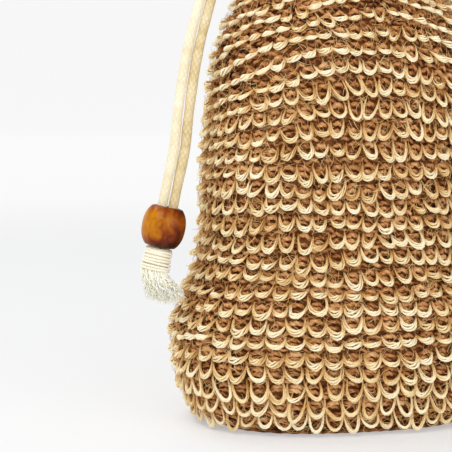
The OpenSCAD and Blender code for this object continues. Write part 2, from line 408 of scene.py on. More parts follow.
def every_side(values, count, sides):
    """One value for each side of each ring, from a number, one for each ring, or a grid."""
    grid = np.asarray(values, float)
    if grid.ndim < 2:
        grid = np.repeat(np.broadcast_to(grid, count)[:, None], sides, axis=1)
    return grid


def in_mesh_order(grids):
    """A converted curve lists its end caps first, from the last strand back, and then its tubes."""
    caps = [part for grid in reversed(grids) for part in (grid[-1], grid[0])]
    return np.concatenate(caps + [part.reshape(-1, *part.shape[2:]) for part in grids])


def spin_yarn(name, material, strands, sides=6):
    """A mesh of round strands, each (points, radii, tones) or (points, radii, tones, relief)."""
    curve = bpy.data.curves.new(name, "CURVE")
    curve.dimensions = "3D"
    curve.bevel_depth = 1.0
    curve.bevel_resolution = (sides - 4) // 2
    curve.use_fill_caps = True
    tones, centres, reliefs = [], [], []
    for points, radii, tone, *relief in strands:
        count = len(points)
        spline = curve.splines.new("POLY")
        spline.points.add(count - 1)
        spline.points.foreach_set(
            "co", np.column_stack([points, np.ones(count)]).astype(np.float32).ravel())
        spline.points.foreach_set("radius", np.broadcast_to(radii, count).astype(np.float32))
        tones.append(every_side(tone, count, sides))
        if relief:
            centres.append(np.repeat(np.asarray(points, float)[:, None, :], sides, axis=1))
            reliefs.append(every_side(relief[0], count, sides))
    holder = bpy.data.objects.new(name + "_curve", curve)
    bpy.context.collection.objects.link(holder)
    bpy.context.view_layer.update()
    mesh = bpy.data.meshes.new_from_object(
        holder.evaluated_get(bpy.context.evaluated_depsgraph_get()))
    bpy.data.objects.remove(holder)
    bpy.data.curves.remove(curve)
    tone = in_mesh_order(tones)
    assert len(tone) == len(mesh.vertices), name
    mesh.attributes.new("tone", "FLOAT", "POINT").data.foreach_set("value", tone.astype(np.float32))
    if reliefs:
        place = np.zeros(len(mesh.vertices) * 3, np.float32)
        mesh.vertices.foreach_get("co", place)
        centre = in_mesh_order(centres)
        raised = centre + (place.reshape(-1, 3) - centre) * in_mesh_order(reliefs)[:, None]
        mesh.vertices.foreach_set("co", raised.astype(np.float32).ravel())
    return finish_mesh(name, mesh, material)


def finish_mesh(name, mesh, material):
    work = bmesh.new()
    work.from_mesh(mesh)
    bmesh.ops.remove_doubles(work, verts=work.verts, dist=1e-7)
    bmesh.ops.recalc_face_normals(work, faces=work.faces)
    for face in work.faces:
        face.smooth = True
    work.to_mesh(mesh)
    work.free()
    mesh.name = name
    mesh.materials.clear()
    mesh.materials.append(material)
    piece = bpy.data.objects.new(name, mesh)
    bpy.context.collection.objects.link(piece)
    return piece


# %% [markdown]
# ## One pile loop
# A loop of the pale yarn comes out of the fabric at the top, hangs in a U and goes back in. Its
# strands lie close together at the legs and spread at the crown, which, with painted light on the
# crowns and painted shade down the legs, gives the bright crescents that make the fabric look like
# rows of scales. Every loop differs a little in width, length, lean and tone.

# %% Pile loops
LOOP_POINTS = 12
LOOP_STRANDS = 5
LOWEST = 1.0 * MM


def pile_loops(shares, rows, side, length=1.0, open_angle=100, fullness=1.0, pressed=0.0,
               tone=0.62):
    """Strands for one loop at each share and row."""
    m = len(shares)
    point, along, up, out = wall_frame(shares, rows, side)
    step = 0.5 / COLUMNS
    width = np.linalg.norm(
        on_wall(shares + step, rows, side) - on_wall(shares - step, rows, side), axis=-1)
    drop = np.linalg.norm(
        on_wall(shares, rows + 0.5, side) - on_wall(shares, rows - 0.5, side), axis=-1)
    width = np.clip(width, 2.0 * MM, 6.2 * MM)
    drop = np.clip(drop, 2.6 * MM, 5.4 * MM)
    pressed = np.broadcast_to(pressed, m)
    wide = 0.48 * width * rng.uniform(0.82, 1.04, m) * (1 + 0.17 * pressed)
    long = 0.6 * drop * length * rng.uniform(0.66, 1.18, m) * (1 - 0.55 * pressed)
    climb = 0.2 * drop * rng.uniform(0.4, 1.3, m) * (1 - 0.8 * pressed)
    lean = rng.normal(0, 0.22, m)
    full = (fullness * rng.uniform(0.6, 1.3, m) * (1 + 0.1 * pressed))[:, None]
    reach = np.radians(open_angle + rng.normal(0, 9, m) - 12 * pressed)
    crown_out = (0.5 + rng.normal(0, 0.3, m) + 0.3 * pressed) * MM
    leg_out = (-2.0 + rng.normal(0, 0.2, m)) * MM
    tone_of = tone + rng.normal(0, 0.1, m) + 0.12 * pressed
    u = np.linspace(-1, 1, LOOP_POINTS)[None, :]
    phi = u * reach[:, None]
    crest = np.cos(0.5 * math.pi * u) ** 1.5
    x = wide[:, None] * np.sin(phi)
    y = climb[:, None] * ease(np.abs(u), 0.45, 1.0) - long[:, None] * (np.cos(phi) - 0.18)
    x = x + lean[:, None] * y
    y = y + (rng.normal(0, 0.12, m) * MM)[:, None] * u
    n = crown_out[:, None] + (leg_out - crown_out)[:, None] * np.abs(u) ** 1.9
    centre = (
        point[:, None, :] + along[:, None, :] * x[..., None]
        + up[:, None, :] * y[..., None] + out[:, None, :] * n[..., None]
    )
    radial = unit(
        along[:, None, :] * np.sin(phi)[..., None] - up[:, None, :] * np.cos(phi)[..., None])
    scale = np.clip(width / (4.6 * MM), 0.55, 1.1)[:, None]
    spread = (0.09 + 0.5 * crest * full) * MM * scale
    thick = (0.15 + 0.14 * crest * full ** 0.5) * MM * scale
    turn0 = rng.uniform(0, 2 * math.pi, m)
    strands = []
    for k in range(LOOP_STRANDS):
        turn = (turn0[:, None] + 2 * math.pi * k / LOOP_STRANDS
                + rng.uniform(0.5, 1.5, m)[:, None] * math.pi * u)
        loose = 1 + rng.normal(0, 0.16, m)[:, None]
        place = (
            centre + radial * (loose * spread * np.cos(turn))[..., None]
            + out[:, None, :] * (0.75 * loose * spread * np.sin(turn))[..., None]
        )
        place[..., 2] = np.maximum(place[..., 2], LOWEST)
        # Painted light and shade: the crest term lightens the crown and darkens the legs, and the
        # sin(turn) term lightens the side of each strand that faces out.
        shade = ((tone_of + rng.normal(0, 0.09, m))[:, None] + 0.56 * (crest - 0.6)
                 + 0.08 * np.sin(turn))
        strands += [(place[i], thick[i], shade[i]) for i in range(m)]
    return strands + loop_hairs(centre, radial, out, tone_of)


def loop_hairs(centre, radial, out, tone_of):
    """One loose fibre that follows some of the loops at a small distance."""
    hairs = []
    t = np.linspace(0, 1, 7)
    for i in np.flatnonzero(rng.random(len(centre)) < 0.7):
        first = rng.integers(0, 5)
        run = centre[i][first:first + 7]
        away = rng.uniform(0.35, 0.95) * MM * np.sin(math.pi * t + rng.uniform(-0.4, 0.4))
        rise = rng.uniform(0.0, 0.9) * MM * t
        path = (run + radial[i][first:first + 7] * (away * rng.choice([-1, 1]))[:, None]
                + out[i] * rise[:, None])
        path[:, 2] = np.maximum(path[:, 2], LOWEST)
        hairs.append((path, 0.06 * MM, tone_of[i] + 0.15))
    return hairs


# %% [markdown]
# ## The ground yarn
# Between the rows of loops the ground yarn shows as a line of small bumps. It is one long wavy yarn
# in each row, spun from two strands, and it lies about two millimetres below the loops' crowns.

# %% Ground yarn rows
GROUND_PER_COLUMN = 6


def in_shade(z):
    """1 on the floor, where almost no light comes under the loops, down to 0 at 5 mm."""
    return 1 - ease(z, 0.5 * MM, 5 * MM)


def ground_row(row, side, sink=1.6, swing=0.5, phase=0.0, plies=2):
    n = COLUMNS * GROUND_PER_COLUMN + 1
    share = np.linspace(0, 1, n)
    point, along, up, out = wall_frame(share, np.full(n, row), side)
    wave = 2 * math.pi * COLUMNS * share + phase
    drop = np.linalg.norm(
        on_wall(share, row + 0.5, side) - on_wall(share, row - 0.5, side), axis=-1)
    tight = np.clip(drop / ROW_PITCH, 0.5, 1.1)
    knots = np.linspace(0, 1, COLUMNS * 2 + 1)
    lift, push, plump = (np.interp(share, knots, rng.normal(0, 1, len(knots))) for _ in range(3))
    lift, push, plump = (soften(v[:, None], 3, 0, False)[:, 0] for v in (lift, push, plump))
    centre = (
        point + up * ((swing * -np.cos(wave) + 0.3 * lift) * MM * tight)[:, None]
        + out * ((-sink + 0.35 * -np.cos(wave) + 0.22 * push) * MM)[:, None]
    )
    strands = []
    twist = 2 * math.pi * COLUMNS * 1.6 * share
    for k in range(plies):
        turn = twist + math.pi * k + row
        place = centre + (up * np.cos(turn)[:, None] + out * np.sin(turn)[:, None]) * 0.36 * MM
        place[:, 2] = np.maximum(place[:, 2], LOWEST)
        # Painted light and shade: the tops of the bumps and the outer side of each ply are lighter,
        # and the yarn is darker near the floor.
        tone = (0.4 + 0.2 * -np.cos(wave) + 0.15 * np.sin(turn) + 0.16 * plump
                - 0.5 * in_shade(place[:, 2]))
        strands.append((place, (0.48 + 0.1 * plump.clip(-1.5, 1.5)) * MM, tone))
    return strands


# %% [markdown]
# ## The ground fabric
# Behind the yarn there is closed fabric, so that no light passes through the pouch. It is a grid of
# faces laid just inside the yarn rows, given a wall by Solidify.

# %% Ground fabric


def fabric_sheet(name, side, first_row, last_row, sink, base=False):
    rows = np.arange(first_row, last_row + 0.01, 0.5)
    columns = COLUMNS * 2 + 1
    work = bmesh.new()
    bmesh.ops.create_grid(work, x_segments=columns - 1, y_segments=len(rows) - 1, size=1)
    work.verts.ensure_lookup_table()
    shares = np.array([(v.co.x + 1) / 2 for v in work.verts])
    places = np.array([(v.co.y + 1) / 2 for v in work.verts]) * (last_row - first_row) + first_row
    point, along, up, out = wall_frame(shares, places, side)
    ripple = 0.2 * np.cos(2 * math.pi * places) + 0.15 * np.cos(2 * math.pi * COLUMNS * shares)
    place = point + out * ((-sink + ripple) * MM)[:, None]
    place[:, 1] = np.where((shares < 0.001) | (shares > 0.999), 0, place[:, 1])
    for vertex, co in zip(work.verts, place):
        vertex.co = co
    if base:
        close_base(work)
    bmesh.ops.recalc_face_normals(work, faces=work.faces)
    mesh = bpy.data.meshes.new(name)
    work.to_mesh(mesh)
    work.free()
    # The fabric is painted darker near the floor, as shade under the loops.
    tone = mesh.attributes.new("tone", "FLOAT", "POINT")
    heights = np.array([v.co.z for v in mesh.vertices])
    tone.data.foreach_set("value", (0.34 - 0.6 * in_shade(heights)).astype(np.float32))
    piece = finish_mesh(name, mesh, ground_yarn)
    wall = piece.modifiers.new("wall", "SOLIDIFY")
    wall.thickness = 1.0 * MM
    facing = sum(p.normal.x * p.center.x + p.normal.y * p.center.y for p in mesh.polygons)
    wall.offset = -1 if facing > 0 else 1
    return piece


# Steps inwards over the base: share of the lowest row's outline, and height above the floor.
BASE_STEPS = ((0.98, 1.3 * MM), (0.6, 1.2 * MM), (0.3, 1.2 * MM))


def close_base(work):
    """Extrudes the lowest row down to the floor and inwards to the middle of the base."""
    lowest = [e for e in work.edges if e.is_boundary and all(v.co.z < 8 * MM for v in e.verts)
              and not all(abs(v.co.y) < 1e-6 for v in e.verts)]
    for scale, z in BASE_STEPS:
        grown = bmesh.ops.extrude_edge_only(work, edges=lowest)["geom"]
        fresh = [g for g in grown if isinstance(g, bmesh.types.BMVert)]
        lowest = [g for g in grown if isinstance(g, bmesh.types.BMEdge)]
        for vertex in fresh:
            vertex.co.x *= scale
            vertex.co.y *= scale
            vertex.co.z = z
    grown = bmesh.ops.extrude_edge_only(work, edges=lowest)["geom"]
    for vertex in (g for g in grown if isinstance(g, bmesh.types.BMVert)):
        vertex.co.y = 0
    bmesh.ops.remove_doubles(work, verts=work.verts, dist=0.02 * MM)


# %% [markdown]
# ## Knitting both halves
# The front and the back are knitted the same way. Rows under the hinge line belong to the body of
# the pouch, and rows above it belong to the lip of that half, which bends outwards when the mouth
# opens. Loops in the gathers below the neck are pressed flat, so their crowns join into lines like
# rope. A crease low on the pouch presses some loops too, and the lowest rows have longer loops.

# %% Knitting
lip_row = int(np.searchsorted(row_height, hinge_z)) - 1
top_row = row_count - 1
print("rows of the body:", lip_row, "rows of each lip:", row_count - lip_row)


def knit_row(row, side, first=0, last=COLUMNS):
    """Pile loops of one row, from one column up to another."""
    shares = (np.arange(first, last) + 0.5) / COLUMNS
    shares = np.clip(shares + rng.normal(0, 0.05, len(shares)) / COLUMNS, 0.004, 0.996)
    rows = row + 0.45 + rng.normal(0, 0.05, len(shares))
    z = row_height[row + 1]
    mood = drift(shares * 2.3, row * 1.7, side)
    gathered = float(ease(z, 90 * MM, 100 * MM) * (1 - ease(z, 126 * MM, 136 * MM)))
    crease = math.exp(-((z - 24 * MM) / (3.2 * MM)) ** 2)
    pressed = np.clip(gathered * (0.66 + 0.6 * mood) + crease * (0.55 + 0.5 * mood), 0, 1)
    low = 1 - float(ease(z, 6 * MM, 20 * MM))
    round_loops = math.exp(-((z - 87 * MM) / (6 * MM)) ** 2) * ease(mood, -0.4, 0.5)
    return pile_loops(
        shares, rows, side,
        length=1 + 0.5 * low + 0.14 * round_loops,
        open_angle=98 + 22 * low + 22 * round_loops,
        fullness=1 - 0.5 * low - 0.3 * round_loops,
        pressed=pressed,
        tone=0.60 + 0.05 * mood + 0.1 * crease + 0.08 * gathered,
    )


def strands_of(rows, side, first=0, last=COLUMNS):
    return [strand for row in rows for strand in knit_row(row, side, first, last)]


def ground_of(rows, side):
    lines = []
    for row in rows:
        lines += ground_row(row + 0.22, side, sink=2.0, swing=0.35, phase=0.6)
        lines += ground_row(row + 0.54, side, sink=1.6, swing=0.5)
        lines += ground_row(row + 0.9, side, sink=1.9, swing=0.3, phase=math.pi, plies=1)
    return lines


BODY = {-1: "front", 1: "back"}
body_rows, lip_rows = range(0, lip_row), range(lip_row, row_count)
middle = COLUMNS // 2
knit = {}
for side, word in BODY.items():
    knit[word, "loops_left"] = spin_yarn(
        f"{word}_pile_loops_left", pile_yarn, strands_of(body_rows, side, 0, middle), sides=4)
    knit[word, "loops_right"] = spin_yarn(
        f"{word}_pile_loops_right", pile_yarn,
        strands_of(body_rows, side, middle, COLUMNS), sides=4)
    knit[word, "rows"] = spin_yarn(
        f"{word}_ground_rows", ground_yarn, ground_of(range(-1, lip_row), side), sides=4)
    knit[word, "fabric"] = fabric_sheet(
        f"{word}_ground_fabric", side, -0.9, lip_row + 0.5, 2.8, base=True)
    knit[word, "lip_loops"] = spin_yarn(
        f"{word}_lip_pile_loops", pile_yarn, strands_of(lip_rows, side), sides=4)
    knit[word, "lip_rows"] = spin_yarn(
        f"{word}_lip_ground_rows", ground_yarn, ground_of(lip_rows, side), sides=4)
    knit[word, "lip_fabric"] = fabric_sheet(
        f"{word}_lip_ground_fabric", side, lip_row - 1.5, top_row + 0.6, 3.1)
for key, piece in knit.items():
    print(*key, len(piece.data.polygons), "faces")

# %% [markdown]
# ## Stray fibres
# Plant fibre is never tidy. Thousands of single fibres lie across the loops and a few stand out
# from the outline.

# %% Stray fibres


def stray_fibres(count, side, first_row, last_row, standing=0.14):
    shares = rng.uniform(0.0, 1.0, count)
    rows = rng.uniform(first_row, last_row, count)
    point, along, up, out = wall_frame(shares, rows, side)
    stands = rng.random(count) < standing
    length = np.where(stands, rng.uniform(1.2, 3.2, count), rng.uniform(2.0, 6.5, count)) * MM
    heading = rng.uniform(0, 2 * math.pi, count)
    bend = rng.normal(0, 0.9, count)
    rise = np.where(stands, rng.uniform(0.5, 1.1, count), rng.uniform(0.0, 0.25, count))
    start = rng.uniform(-1.2, 0.35, count) * MM
    t = np.linspace(0, 1, 5)
    angle = heading[:, None] + bend[:, None] * t[None, :]
    reach = length[:, None] * t[None, :]
    x, y = reach * np.cos(angle), reach * np.sin(angle)
    n = start[:, None] + length[:, None] * rise[:, None] * t[None, :] * (1 - 0.35 * t[None, :])
    lie = np.where(stands[:, None], n, np.minimum(n, 0.9 * MM))
    place = (
        point[:, None, :] + along[:, None, :] * x[..., None] + up[:, None, :] * y[..., None]
        + out[:, None, :] * lie[..., None]
    )
    place[..., 2] = np.maximum(place[..., 2], LOWEST)
    thick = rng.uniform(0.04, 0.075, count) * MM
    shade = np.clip(rng.normal(0.7, 0.25, count), 0, 1)
    return [(place[i], thick[i] * (1 - 0.5 * t), shade[i]) for i in range(count)]


for side, word in BODY.items():
    knit[word, "fibres"] = spin_yarn(
        f"{word}_stray_fibres", stray_fibre, stray_fibres(3600, side, -0.5, lip_row), sides=4)
    knit[word, "lip_fibres"] = spin_yarn(
        f"{word}_lip_stray_fibres", stray_fibre,
        stray_fibres(1300, side, lip_row, top_row), sides=4)

# %% [markdown]
# ## Side seams, base and mouth
# Small over-and-over stitches join the halves at each side. The base is worked in flat rounds of
# ground yarn. A rope of three strands binds the mouth.

# %% Seams, base and mouth


def seam_stitches(share, first_row, last_row):
    """Stitches across y = 0 at the left side, share 0, or at the right side, share 1."""
    strands = []
    inside = 0.022 if share < 0.5 else 0.978
    for row in np.arange(first_row, last_row, 0.45):
        ends = [wall_frame(np.array([inside]), np.array([row + lift]), side)
                for side, lift in ((-1, -0.12), (1, 0.12))]
        centre = wall_frame(np.array([share + 0.001 - 0.002 * share]), np.array([row]), -1)
        outward = unit(np.array([centre[0][0][0], 0, 0]))
        path = [
            ends[0][0][0] - ends[0][3][0] * 2.0 * MM,
            ends[0][0][0] - ends[0][3][0] * 1.1 * MM,
            centre[0][0] - outward * 0.6 * MM,
            ends[1][0][0] - ends[1][3][0] * 1.1 * MM,
            ends[1][0][0] - ends[1][3][0] * 2.0 * MM,
        ]
        path = np.array(path)
        path[:, 2] = np.maximum(path[:, 2], 0.8 * MM)
        strands.append((path, 0.62 * MM, 0.4 + rng.normal(0, 0.12)))
    return strands


def rope(path, radius, strands=3, lay=7 * MM, tone=0.55):
    """Strands twisted round a path."""
    steps = np.linalg.norm(np.diff(path, axis=0), axis=1)
    s = np.concatenate([[0], np.cumsum(steps)])
    tangent = unit(np.gradient(path, axis=0))
    side = unit(np.cross(tangent, np.array([0.13, 0.21, 1.0])))
    over = np.cross(side, tangent)
    made = []
    for k in range(strands):
        turn = 2 * math.pi * (s / lay + k / strands)
        place = path + (side * np.cos(turn)[:, None] + over * np.sin(turn)[:, None]) * radius * 0.52
        # The strands are painted lighter where they lie on top of the rope, as light falling from
        # above.
        made.append((place, radius * 0.5, tone + 0.12 * np.sin(turn)))
    return made


seams = {}
for word, share in (("left", 0.0), ("right", 1.0)):
    seams[word] = spin_yarn(
        f"{word}_side_stitches", ground_yarn, seam_stitches(share, 0.2, lip_row))
    seams[word, "lip"] = spin_yarn(
        f"{word}_neck_stitches", ground_yarn, seam_stitches(share, lip_row, top_row + 0.4))

base_rounds = []
theta = np.linspace(0, 2 * math.pi, 181)
rim = np.interp(theta % (2 * math.pi), angles, radius[0], period=2 * math.pi)
for k in range(9):
    scale = 0.95 - 0.106 * k
    wave = np.cos(theta * round(COLUMNS * 2 * scale))
    r = rim * scale + 0.5 * MM * wave
    ring = np.column_stack([r * np.cos(theta), r * np.sin(theta), np.full(len(theta), 0.75 * MM)])
    ring[:, 2] += 0.2 * MM * wave
    # The raised parts of each round are painted lighter, as light on the bumps.
    base_rounds.append((ring, 0.6 * MM, 0.25 + 0.15 * wave))
base_yarn = spin_yarn("base_rounds", ground_yarn, base_rounds)

edging_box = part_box("front_mouth_edging")
edging_r = (edging_box[1][2] - edging_box[0][2]) / 2
edging_mid = edging_box[0][2] + edging_r
mouth_r = -edging_box[0][1] - edging_r
mouth_ropes = {}
for side, word in BODY.items():
    arc = np.linspace(math.pi, math.pi - side * math.pi, 90)
    loop = np.column_stack([
        mouth_r * np.cos(arc), mouth_r * np.sin(arc), edging_mid + 0.25 * MM * np.sin(arc * 14),
    ])
    mouth_ropes[word] = spin_yarn(f"{word}_mouth_rope", pile_yarn, rope(loop, edging_r * 0.95))
print("mouth rope radius:", round(edging_r * 1000, 2), "mm")

# %% [markdown]
# ## The cord
# The cord is a round cotton braid, 2.8 mm across. Its surface is a tube with a raised diamond for
# each strand that crosses over, about 2.2 mm long. The run round the neck and both free ends use
# the same braid. Each free end follows its own smooth line down to the bead.

# %% Braided cord
CORD_D = 2.8 * MM
BRAID_PITCH = 2.2 * MM
CORD_SIDES = 24


def smooth_line(points, spacing=0.3 * MM):
    """A Catmull-Rom line through the points, evenly spaced."""
    p = np.array(points)
    p = np.vstack([2 * p[0] - p[1], p, 2 * p[-1] - p[-2]])
    t = np.linspace(0, 1, 24, endpoint=False)[:, None]
    parts = [
        0.5 * (2 * p[i] + (p[i + 1] - p[i - 1]) * t
               + (2 * p[i - 1] - 5 * p[i] + 4 * p[i + 1] - p[i + 2]) * t ** 2
               + (3 * p[i] - p[i - 1] - 3 * p[i + 1] + p[i + 2]) * t ** 3)
        for i in range(1, len(p) - 2)
    ]
    line = np.vstack(parts + [p[-2:-1]])
    s = np.concatenate([[0], np.cumsum(np.linalg.norm(np.diff(line, axis=0), axis=1))])
    even = np.linspace(0, s[-1], max(8, int(s[-1] / spacing)))
    return np.column_stack([np.interp(even, s, line[:, i]) for i in range(3)]), even


def braid(points, diameter=CORD_D, tone=0.55):
    """One braided tube along the points, for spin_yarn with CORD_SIDES sides."""
    path, s = smooth_line(points)
    lift = np.interp(s, s[::5], rng.normal(0, 0.8, len(s[::5])))
    around = np.arange(CORD_SIDES) * 2 * math.pi / CORD_SIDES
    one = np.cos(3 * around[None, :] + math.pi * s[:, None] / BRAID_PITCH)
    other = np.cos(3 * around[None, :] - math.pi * s[:, None] / BRAID_PITCH)
    bump = np.abs(one * other) ** 0.5 * (0.75 + 0.3 * lift[:, None]).clip(0.2, 1.2)
    uneven = 1 + 0.03 * np.sin(s / (4.1 * MM)) + 0.02 * np.sin(s / (1.7 * MM) + 1)
    relief = (0.94 + 0.1 * bump) * uneven[:, None]
    # The tone follows the raised diamonds: painted light on them and painted shade in the grooves.
    return path, (path, diameter / 2, tone - 0.2 + 0.38 * bump, relief)


# Route of the pair: the point midway between the two free ends, and the turn of the line that
# joins them, at each of twelve stations from the neck to the straight part above the bead
PAIR = [
    ((-18, 0, 143), 0), ((-22.5, 0, 144), 0), ((-27.5, -1, 143.4), 5), ((-33, -2.5, 140), 20),
    ((-37, -4.5, 134.5), 45), ((-39.3, -6, 128.5), 70), ((-40.8, -7.3, 122), 90),
    ((-43.6, -9.3, 113), 90), ((-46.1, -11.3, 104), 90), ((-47.9, -13, 95), 90),
    ((-49.3, -14.4, 86), 90), ((-50.2, -15, 79), 90),
]
LEAN = math.radians(12)
LEG_OFFSET = (CORD_D + 0.2 * MM) / 2 / math.cos(LEAN)
TO_BEAD = 21.5 * MM
BEAD_HEIGHT = 11.2 * MM
STOP_GAP = 0.3 * MM
WHIPPING_HEIGHT = 6.65 * MM
down = np.array([-math.sin(LEAN), 0, -math.cos(LEAN)])
straight_top = np.array(PAIR[-1][0]) * MM
straight_length = (TO_BEAD + BEAD_HEIGHT / 2 + STOP_GAP + WHIPPING_HEIGHT
                   - LEG_OFFSET * math.sin(LEAN))


def free_end(side):
    """Centreline of one free end: side -1 is the front one and 1 the back one."""
    points = [
        np.array(p) * MM + side * LEG_OFFSET * np.array(
            [-math.sin(math.radians(a)), math.cos(math.radians(a)), 0])
        for p, a in PAIR
    ]
    points += [
        straight_top + [-side * LEG_OFFSET, 0, 0] + down * straight_length * i / 4
        for i in range(1, 5)
    ]
    return points


run_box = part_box("front_drawstring_run")
run_z = (run_box[0][2] + run_box[1][2]) / 2
run_r = -run_box[0][1] - CORD_D / 2
runs, legs = {}, {}
for side, word in BODY.items():
    start = math.asin(LEG_OFFSET / run_r)
    arc = np.linspace(math.pi + start * -side, math.pi - side * math.pi, 40)
    ring = [np.array([run_r * math.cos(a), run_r * math.sin(a), run_z]) for a in arc]
    ring[-1][1] = 0
    lead = [np.array([-18 * MM, side * LEG_OFFSET, run_z])]
    _, strand = braid(lead + ring[3:])
    runs[word] = spin_yarn(f"{word}_drawstring_run_braid", cotton_braid, [strand], CORD_SIDES)
    # The two ends are one cord: the front end is painted darker, as shade, and the back end
    # lighter.
    path, strand = braid(free_end(side), tone=0.38 if side < 0 else 0.7)
    legs[word] = (spin_yarn(f"drawstring_end_{word}", cotton_braid, [strand], CORD_SIDES), path)
    leg_run = float(np.linalg.norm(np.diff(path, axis=0), axis=1).sum())
    print("free end", word, "is", round(leg_run * 1000, 1), "mm")

# %% [markdown]
# ## The bead
# The bead is turned from a pale wood, stained amber and lacquered. Spin makes it from half of its
# outline, with the bore inside. It is darker towards the two ends, its stain clouds the sides, and
# painted shade darkens it towards its right side and its lower end.

# %% Bead
BEAD_D = 12 * MM
BORE_R = 3.14 * MM
bead_centre = straight_top + down * TO_BEAD
tilt = Matrix.Rotation(LEAN, 4, "Y")
bead_place = Matrix.Translation(bead_centre) @ tilt


def bead_outline():
    outer = []
    for a in np.linspace(-math.pi / 2, math.pi / 2, 49):
        r = BEAD_D / 2 * abs(math.cos(a)) ** (2 / 2.3)
        z = 0.619 * BEAD_HEIGHT * math.copysign(abs(math.sin(a)) ** (2 / 2.3), a)
        if r > BORE_R + 1.0 * MM:
            outer.append((r, z))
    end = BEAD_HEIGHT / 2
    rim = [
        (BORE_R + 0.72 * MM, end - 0.16 * MM), (BORE_R + 0.42 * MM, end - 0.02 * MM),
        (BORE_R + 0.16 * MM, end - 0.1 * MM), (BORE_R, end - 0.45 * MM),
    ]
    return outer + rim + [(r, -z) for r, z in reversed(rim)]


work = bmesh.new()
profile = [work.verts.new((r, 0, z)) for r, z in bead_outline()]
edges = [work.edges.new((profile[i], profile[(i + 1) % len(profile)])) for i in range(len(profile))]
bmesh.ops.spin(work, geom=profile + edges, cent=(0, 0, 0), axis=(0, 0, 1), angle=2 * math.pi,
               steps=64, use_merge=True)
bmesh.ops.recalc_face_normals(work, faces=work.faces)
work.transform(bead_place)
bead_mesh = bpy.data.meshes.new("bead")
work.to_mesh(bead_mesh)
work.free()


def wood_material():
    material, shader = new_material("amber_lacquered_wood", Roughness=0.5, Coat_Weight=0.7,
                                    Coat_Roughness=0.1, Coat_IOR=1.28)
    shader.inputs["Specular IOR Level"].default_value = 0.05
    place = add(material, "ShaderNodeTexCoord")
    local = add(material, "ShaderNodeVectorMath",
                {0: place.outputs["Object"], 1: tuple(bead_centre)},
                operation="SUBTRACT")
    axis = add(material, "ShaderNodeVectorMath", {0: local.outputs["Vector"], 1: tuple(down)},
               operation="DOT_PRODUCT")
    ends = add(material, "ShaderNodeMath", {0: axis.outputs["Value"]}, operation="ABSOLUTE")
    toward_end = add(material, "ShaderNodeMapRange", {
        "Value": ends.outputs[0], "From Min": 2.6 * MM, "From Max": 5.6 * MM,
        "To Min": 0.0, "To Max": 0.34,
    })
    stretched = add(material, "ShaderNodeMapping", {
        "Vector": local.outputs["Vector"], "Rotation": (0, -LEAN, 0), "Scale": (1, 1, 0.55),
    })
    cloud = add(material, "ShaderNodeTexNoise", {
        "Vector": stretched.outputs["Vector"], "Scale": 1 / (3.2 * MM),
        "Detail": 3.0, "Roughness": 0.55,
        "Distortion": 0.6,
    })
    grain = add(material, "ShaderNodeTexNoise", {
        "Vector": stretched.outputs["Vector"], "Scale": 1 / (0.7 * MM), "Detail": 4.0,
    })
    base = add(material, "ShaderNodeMath", {0: cloud.outputs["Fac"], 1: 0.8, 2: 0.2},
               operation="MULTIPLY_ADD")
    fine = add(material, "ShaderNodeMath", {0: grain.outputs["Fac"], 1: 0.25, 2: base.outputs[0]},
               operation="MULTIPLY_ADD")
    # Painted shade: the colour darkens towards the bead's right side and its lower end, on top of
    # the stain's clouds.
    shaded = add(material, "ShaderNodeVectorMath",
                 {0: local.outputs["Vector"], 1: (45.0, 0.0, -34.0)},
                 operation="DOT_PRODUCT")
    uneven = add(material, "ShaderNodeMath", {0: fine.outputs[0], 1: shaded.outputs["Value"]},
                 operation="SUBTRACT")
    dark = add(material, "ShaderNodeMath", {0: uneven.outputs[0], 1: toward_end.outputs["Result"]},
               operation="SUBTRACT", use_clamp=True)
    colour = ramp(material, dark.outputs[0], [
        (0.0, "#1C0601"), (0.3, "#3C1102"), (0.5, "#662402"), (0.68, "#904402"), (1.0, "#C07A00"),
    ])
    material.node_tree.links.new(colour, shader.inputs["Base Color"])
    bump = add(material, "ShaderNodeBump", {
        "Height": cloud.outputs["Fac"], "Strength": 0.15, "Distance": 0.1 * MM,
    })
    material.node_tree.links.new(bump.outputs["Normal"], shader.inputs["Normal"])
    return material


bead = finish_mesh("lacquered_bead", bead_mesh, wood_material())
print("bead:", len(bead.data.polygons), "faces")

# %% [markdown]
# ## Whipping and tassel
# Seven turns of waxed thread bind both ends of the cord under the bead. Below them the cotton is
# combed out into a soft tassel that turns in towards the pouch.

# %% Whipping and tassel
across = np.array([math.cos(LEAN), 0, -math.sin(LEAN)])
toward = np.array([0.0, 1.0, 0.0])
whipping_top = bead_centre + down * (BEAD_HEIGHT / 2 + STOP_GAP)
THREAD_D = 0.95 * MM
WHIPPING_R = 3.62 * MM
s = np.linspace(0, 7.0, 7 * 72)
turn = 2 * math.pi * s
wobble = (0.1 * MM * np.sin(turn * 0.37 + 1) + 0.14 * MM * np.sin(turn)
          + 0.05 * MM * np.sin(turn * 1.7))
depth = THREAD_D * (0.32 + s * (WHIPPING_HEIGHT / THREAD_D - 0.8) / 7.0) + wobble
swell = WHIPPING_R + 0.1 * MM * np.sin(turn * 0.23) + 0.35 * MM * (s / 7.0 - 0.5)
helix = (
    whipping_top + down * depth[:, None]
    + across * (swell * np.cos(turn))[:, None] + toward * (swell * np.sin(turn))[:, None]
)
binding = [(helix, THREAD_D * 0.3, 0.4 + 0.2 * np.sin(turn * 3.1))]
# Each ply is painted lighter on its outer side, as light on the thread.
for k in range(3):
    ply = turn * 9 + 2 * math.pi * k / 3
    radial = across * np.cos(turn)[:, None] + toward * np.sin(turn)[:, None]
    binding.append((
        helix + radial * (0.17 * MM * np.cos(ply))[:, None]
        + down * (0.17 * MM * np.sin(ply))[:, None],
        THREAD_D * 0.22, 0.6 + 0.3 * np.cos(ply),
    ))
